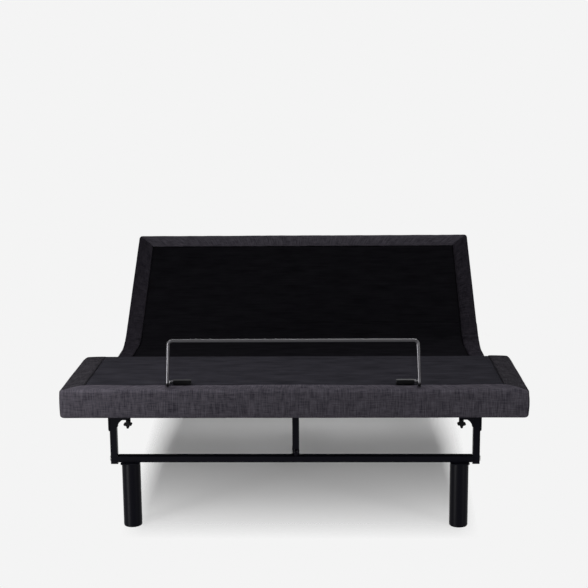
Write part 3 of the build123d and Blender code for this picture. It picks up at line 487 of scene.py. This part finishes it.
def run_cover(name, places, side_cloth, insert, soft=(0.0, 0.0), creases=0.0, ridge=0.0):
    """A length of cover with a border down each side. places is a list of functions of (x, v).
    The rolled edge goes from one softness to the other, and a ridge pulls the crown and seam flat."""
    cloth = Cloth()
    last = len(places) - 1
    middles = [math.sin(math.pi * i / last) ** 2 for i in range(last + 1)]
    steps = [0.0]
    for before, after in zip(places, places[1:]):
        steps.append(steps[-1] + (after(0, top_v) - before(0, top_v)).length)
    for sign in (-1, 1):
        rows = []
        for i, place in enumerate(places):
            row = []
            softness = soft[0] + (soft[1] - soft[0]) * i / last
            for (d0, v0), (d1, v1) in zip(profile, soft_profile):
                d, v = d0 * (1 - softness) + d1 * softness, v0 * (1 - softness) + v1 * softness
                x = sign * (half_width - d)
                if d > tight_roll and v > 0:
                    v = top_v + (v - top_v) * (1 - ridge * middles[i])
                lift = ruffle(x, place(x, v).y, 0.11, 0.0016) if v > 0 else 0.0
                if creases and v > -0.02:
                    bow = (d - 0.035) / 0.035
                    phase = (steps[i] - 0.5 * steps[-1] - 0.012 * bow * bow) / 0.016
                    fold = math.sin(phase * math.pi) * math.exp(-((phase / 3.2) ** 2))
                    lift += creases * middles[i] * fold * (0.3 + 0.7 * min(1, max(0, d / 0.02)))
                row.append(place(x, v + lift * (1 - 0.9 * ridge * middles[i])))
            rows.append(row)
        cloth.add(rows, lambda i, k: (steps[i], profile_run[k]), lambda i: 1)
    rows = []
    for i, place in enumerate(places):
        row = []
        for x in insert_xs:
            seam = seam_drop * math.exp(-(insert_half - abs(x)) / seam_width)
            v = insert_v - seam * (1 - ridge * middles[i])
            v += 0.5 * creases * middles[i] * noise.noise(Vector((x / 0.12, steps[i] / 0.018, 9.1)))
            row.append(place(x, v))
        rows.append(row)
    cloth.add(rows, lambda i, k: (insert_xs[k], steps[i]), lambda i: 2)
    return cloth.piece(name, side_cloth, insert)


def straight(section, u0, u1, count):
    return [lambda x, v, u=u: section.at(x, u, v) for u in np.linspace(u0, u1, count)]


def bend(before, after, u_before, u_after, reach, count, square_foot=0.0):
    """Places across a hinge, rounded from one section's plane into the next one's. The rounding is
    tighter over the centre cloth, and at the foot of the wall by the share square_foot."""
    hinge = before.at(0, u_before, 0)
    corner_up = (before.up + after.up) / (1 + before.up.dot(after.up))
    places = []
    for s in np.linspace(-reach, reach, count):

        def place(x, v, s=s):
            inward = min(1.0, max(0.0, (half_width - abs(x)) / 0.06))
            ease = reach * (1 - 0.4 * inward) * (1 - square_foot * max(0.0, v / foot_v))
            if s <= -ease:
                return before.at(x, u_before + s, v)
            if s >= ease:
                return after.at(x, u_after + s, v)
            t = (s + ease) / (2 * ease)
            first, last = before.at(x, u_before - ease, v), after.at(x, u_after + ease, v)
            corner = hinge + corner_up * v + Vector((x, 0, 0))
            return first * (1 - t) ** 2 + corner * (2 * t * (1 - t)) + last * t ** 2

        places.append(place)
    return places


knee_reach, seat_reach, head_reach = 0.045, 0.055, 0.110
# The foot, knee and thigh covers take the lighter painted copies of the linen sides and the centre cloth,
# and the seat bend takes the lighter linen sides. The seat and head take the side linen painted darker as
# shade. Both end strips take the linen copy with the most painted light.
foot_cover = cover("foot_cover", foot, -knee_reach, -foot_length, linen_painted_half_lit, lit_centre_cloth)
knee_cover = run_cover(
    "knee_cover", bend(foot, thigh, 0.0, -thigh_length, knee_reach, 30),
    linen_painted_half_lit, lit_centre_cloth, ridge=1.0,
)
thigh_cover = run_cover(
    "thigh_cover", straight(thigh, knee_reach - thigh_length, -seat_reach, 34), linen_painted_half_lit, lit_centre_cloth
)
seat_bend_cover = run_cover(
    "seat_bend_cover", bend(thigh, seat, 0.0, 0.0, seat_reach, 30, 0.7),
    linen_painted_half_lit, centre_cloth, soft=(0.0, 1.0), creases=0.0012,
)
seat_cover = run_cover(
    "seat_cover", straight(seat, seat_reach, seat_length - head_reach, 44),
    linen_painted_shade, centre_cloth, soft=(1.0, 1.0),
)
head_bend_cover = run_cover(
    "head_bend_cover", bend(seat, head, seat_length, 0.0, head_reach, 64, 0.7),
    linen_painted_shade, centre_cloth, soft=(1.0, 0.0), creases=0.0034,
)
head_cover = cover("head_cover", head, head_reach, head_length, linen_painted_shade, centre_cloth)
covers = {
    foot_cover: ("foot_border", "foot_centre_panel"),
    thigh_cover: ("thigh_border", "thigh_centre_panel"),
    seat_cover: ("seat_border", "seat_centre_panel"),
    head_cover: ("head_border", "head_centre_panel"),
    knee_cover: (),
    seat_bend_cover: (),
    head_bend_cover: (),
}
for piece, stood_for in covers.items():
    backing = piece.modifiers.new("cloth_and_foam", "SOLIDIFY")
    backing.thickness = 0.0015
    backing.offset = -1.0
    bpy.context.view_layer.objects.active = piece
    bpy.ops.object.modifier_apply(modifier=backing.name)
    if stood_for:
        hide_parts(*stood_for)
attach(foot_cover, "foot")
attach(thigh_cover, "thigh")
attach(seat_cover, "base")
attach(head_cover, "head")
foot.at(0, -knee_reach, 0)
foot.at(0, knee_reach * math.cos(thigh_tilt), 0)
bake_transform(knee_cover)
seat.at(0, -seat_reach, 0)
seat.at(0, seat_reach, 0)
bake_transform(seat_bend_cover)
head.at(0, head_reach, 0)
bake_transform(head_bend_cover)

# ---- Mattress retainer ----
# A bent steel rod that drops into two clip plates screwed through the border at the foot end.
# The rod is dark plated steel, the clips are moulded and the screws zinc plated.
bar_metal = metal("bar_gunmetal", (0.055, 0.054, 0.058), 0.33, spread=0.06)
paint(bar_metal, "bar_steel", "retainer_bar")
clip_plastic = moulded("clip_plastic", (0.012, 0.012, 0.013), 0.5)
paint(clip_plastic, "black_plastic", "retainer_clips")
paint(zinc, "zinc_steel", "retainer_screws")

# ---- Floor, light and camera ----
# A plain pale floor that fades into a pale backdrop, soft lights to both sides, above and behind,
# and a long lens well back from the foot end.
pale = (0.86, 0.86, 0.86)
backdrop = (0.905, 0.905, 0.905, 1)
dim_air = (0.176, 0.176, 0.18, 1)
bed_foot = 0.957

# The floor fades past the bed's sides, more softly towards the head end, and behind the bed.
# Reflections look through it, so that metal shows the backdrop.
floor_finish = Finish("studio_floor", pale, 1.0, Specular_IOR_Level=0.0)
spot_x, spot_y, _ = floor_finish.split(floor_finish.place())
inside_edge = spot_y * 0.05 + (0.648 - abs(spot_x - 0.015))
sharpness = (9.2 - spot_y * 5.0).clamp(2.0, 14.0)
across_fade = (inside_edge * sharpness).clamp()
toward_head = 0.0925 ** (spot_y + bed_foot)
beyond_head = (spot_y * 0.8 - 0.92).clamp()
unmirrored = 1.0 - floor_finish.node("ShaderNodeLightPath", out=3)
fade = (1.0 - toward_head).clamp() * across_fade * (1.0 - beyond_head)
floor_finish.feed("Alpha", fade * unmirrored)
floor_mesh = bpy.data.meshes.new("studio_floor")
floor_mesh.from_pydata([(-5, -5, 0), (5, -5, 0), (5, 5, 0), (-5, 5, 0)], [], [(0, 1, 2, 3)])
floor_mesh.materials.append(floor_finish.material)
floor = bpy.data.objects.new("studio_floor", floor_mesh)
bpy.context.scene.collection.objects.link(floor)
floor.location.z = -0.0005

# The air lights the bed dimly, and the camera, reflections and clear pieces see the backdrop.
world = bpy.data.worlds.new("studio")
bpy.context.scene.world = world
world.use_nodes = True
air = world.node_tree
paths = air.nodes.new("ShaderNodeLightPath")
looks = paths.outputs["Is Camera Ray"]
for ray in ("Is Glossy Ray", "Is Transmission Ray"):
    either = air.nodes.new("ShaderNodeMath")
    either.operation = "MAXIMUM"
    air.links.new(looks, either.inputs[0])
    air.links.new(paths.outputs[ray], either.inputs[1])
    looks = either.outputs[0]
seen = air.nodes.new("ShaderNodeMix")
seen.data_type = "RGBA"
factor, unseen_colour, seen_colour = seen.inputs[0], seen.inputs[6], seen.inputs[7]
unseen_colour.default_value, seen_colour.default_value = dim_air, backdrop
air.links.new(looks, factor)
air.links.new(seen.outputs[2], air.nodes["Background"].inputs["Color"])


def soft_light(name, place, target, size, watts):
    lamp = bpy.data.lights.new(name, "AREA")
    lamp.shape = "RECTANGLE"
    lamp.size, lamp.size_y = size
    lamp.energy = watts
    holder = bpy.data.objects.new(name, lamp)
    bpy.context.scene.collection.objects.link(holder)
    holder.location = place
    holder.rotation_euler = (Vector(target) - Vector(place)).to_track_quat("-Z", "Y").to_euler()
    return holder


soft_light("key_light", (-1.15, -1.45, 0.75), (-0.7, -0.95, 0.45), (0.4, 0.4), 2.6)
soft_light("fill_light", (1.9, -2.2, 0.9), (0.6, -0.95, 0.47), (0.7, 0.7), 7.4)
soft_light("left_top_light", (-1.1, -0.95, 1.5), (-0.65, -0.90, 0.5), (0.7, 0.4), 5.0)
overhead = soft_light("overhead_light", (0.15, -0.85, 2.2), (0.15, -0.85, 0.5), (2.1, 0.3), 2.4)
overhead.data.spread = math.radians(70)
soft_light("left_strip", (-3.1, -3.75, 0.62), (0, -0.8, 0.4), (0.7, 1.2), 36)
soft_light("right_strip", (3.4, -3.5, 0.62), (0, -0.8, 0.4), (0.5, 1.2), 9)
# Two lights act on gloss alone and draw the bright lines down the legs.
for name, place, watts in (
    ("left_sheen", (-3.2, -3.85, -0.5), 210),
    ("right_sheen", (3.6, -3.3, -0.5), 30),
):
    sheen = soft_light(name, place, (0, -0.8, 0.2), (1.0, 1.6), watts)
    sheen.visible_diffuse = False
soft_light("rim_light", (1.5, 3.2, 2.8), (0, 0.2, 0.4), (2.4, 1.2), 80)
soft_light("floor_light", (0, 2.4, 0.75), (0, -0.2, 0), (2.0, 0.4), 16)

view = bpy.data.cameras.new("camera")
view.sensor_width = 36.0
view.lens = 76.69
camera = bpy.data.objects.new("camera", view)
bpy.context.scene.collection.objects.link(camera)
turn_left, tip_down, roll = 0.0264, 0.1941, -0.0088
aim = (
    Matrix.Rotation(turn_left, 4, "Z")
    @ Matrix.Rotation(math.pi / 2 - tip_down, 4, "X")
    @ Matrix.Rotation(roll, 4, "Z")
)
camera.matrix_world = Matrix.Translation((0.1096, -4.8729, 1.5967)) @ aim
bpy.context.scene.camera = camera
bpy.context.scene.view_settings.view_transform = "Standard"
